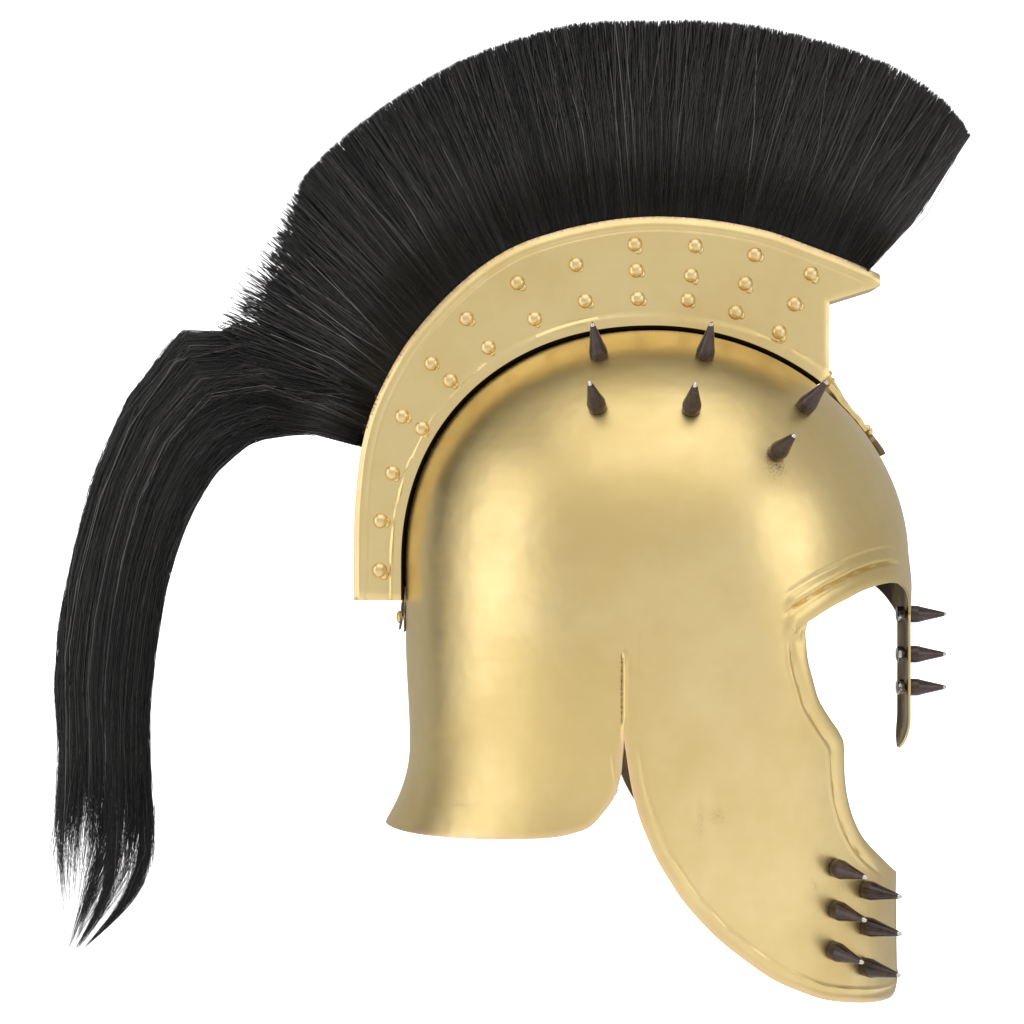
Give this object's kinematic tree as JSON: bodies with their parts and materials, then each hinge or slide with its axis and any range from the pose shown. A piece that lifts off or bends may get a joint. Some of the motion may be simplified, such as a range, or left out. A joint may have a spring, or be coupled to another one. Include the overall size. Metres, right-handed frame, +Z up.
{
  "type": "greek helmet",
  "caption": "Brass helmet of ancient Greek form with a nasal, cheek plates, neck guard, riveted crest holder, black hair brush with a long tail, and brown spikes",
  "frame": {"origin": "inner apex of the skull, where the wearer's head meets it", "axes": "the face looks along -Y, +Z is up, the wearer's right is at -X"},
  "size_m": [0.2098, 0.4531, 0.4758],
  "materials": {
    "brass": "satin, lightly tarnished",
    "spike_brown": "dark brown satin",
    "bracket_brown": "dark tarnish",
    "hair_black": "coarse black hair"
  },
  "bodies": {
    "root": {"helmet_shell": "brass", "crest_holder": "brass", "front_strap": "brass", "rear_screw": "brass", "stud_01": "brass", "stud_02": "brass", "stud_03": "brass", "stud_04": "brass", "stud_05": "brass", "stud_06": "brass", "stud_07": "brass", "stud_08": "brass", "stud_09": "brass", "stud_10": "brass", "stud_11": "brass", "stud_12": "brass", "stud_13": "brass", "stud_14": "brass", "stud_15": "brass", "stud_16": "brass", "stud_17": "brass", "stud_18": "brass", "stud_19": "brass", "stud_20": "brass", "stud_21": "brass", "stud_22": "brass", "stud_23": "brass", "stud_24": "brass", "stud_25": "brass", "skull_spike_right_1": "spike_brown", "skull_spike_right_2": "spike_brown", "skull_spike_right_3": "spike_brown", "skull_spike_right_4": "spike_brown", "skull_spike_right_5": "spike_brown", "skull_spike_right_6": "spike_brown", "skull_spike_left_1": "spike_brown", "skull_spike_left_2": "spike_brown", "skull_spike_left_3": "spike_brown", "skull_spike_left_4": "spike_brown", "skull_spike_left_5": "spike_brown", "skull_spike_left_6": "spike_brown", "cheek_spike_right_1": "spike_brown", "cheek_spike_right_2": "spike_brown", "cheek_spike_right_3": "spike_brown", "cheek_spike_right_4": "spike_brown", "cheek_spike_right_5": "spike_brown", "cheek_spike_right_6": "spike_brown", "cheek_spike_left_1": "spike_brown", "cheek_spike_left_2": "spike_brown", "cheek_spike_left_3": "spike_brown", "cheek_spike_left_4": "spike_brown", "cheek_spike_left_5": "spike_brown", "cheek_spike_left_6": "spike_brown", "nasal_spike_1": "spike_brown", "nasal_spike_2": "spike_brown", "nasal_spike_3": "spike_brown", "rear_bracket": "bracket_brown", "crest_brush": "hair_black", "crest_tail": "hair_black"}
  },
  "joints": []
}
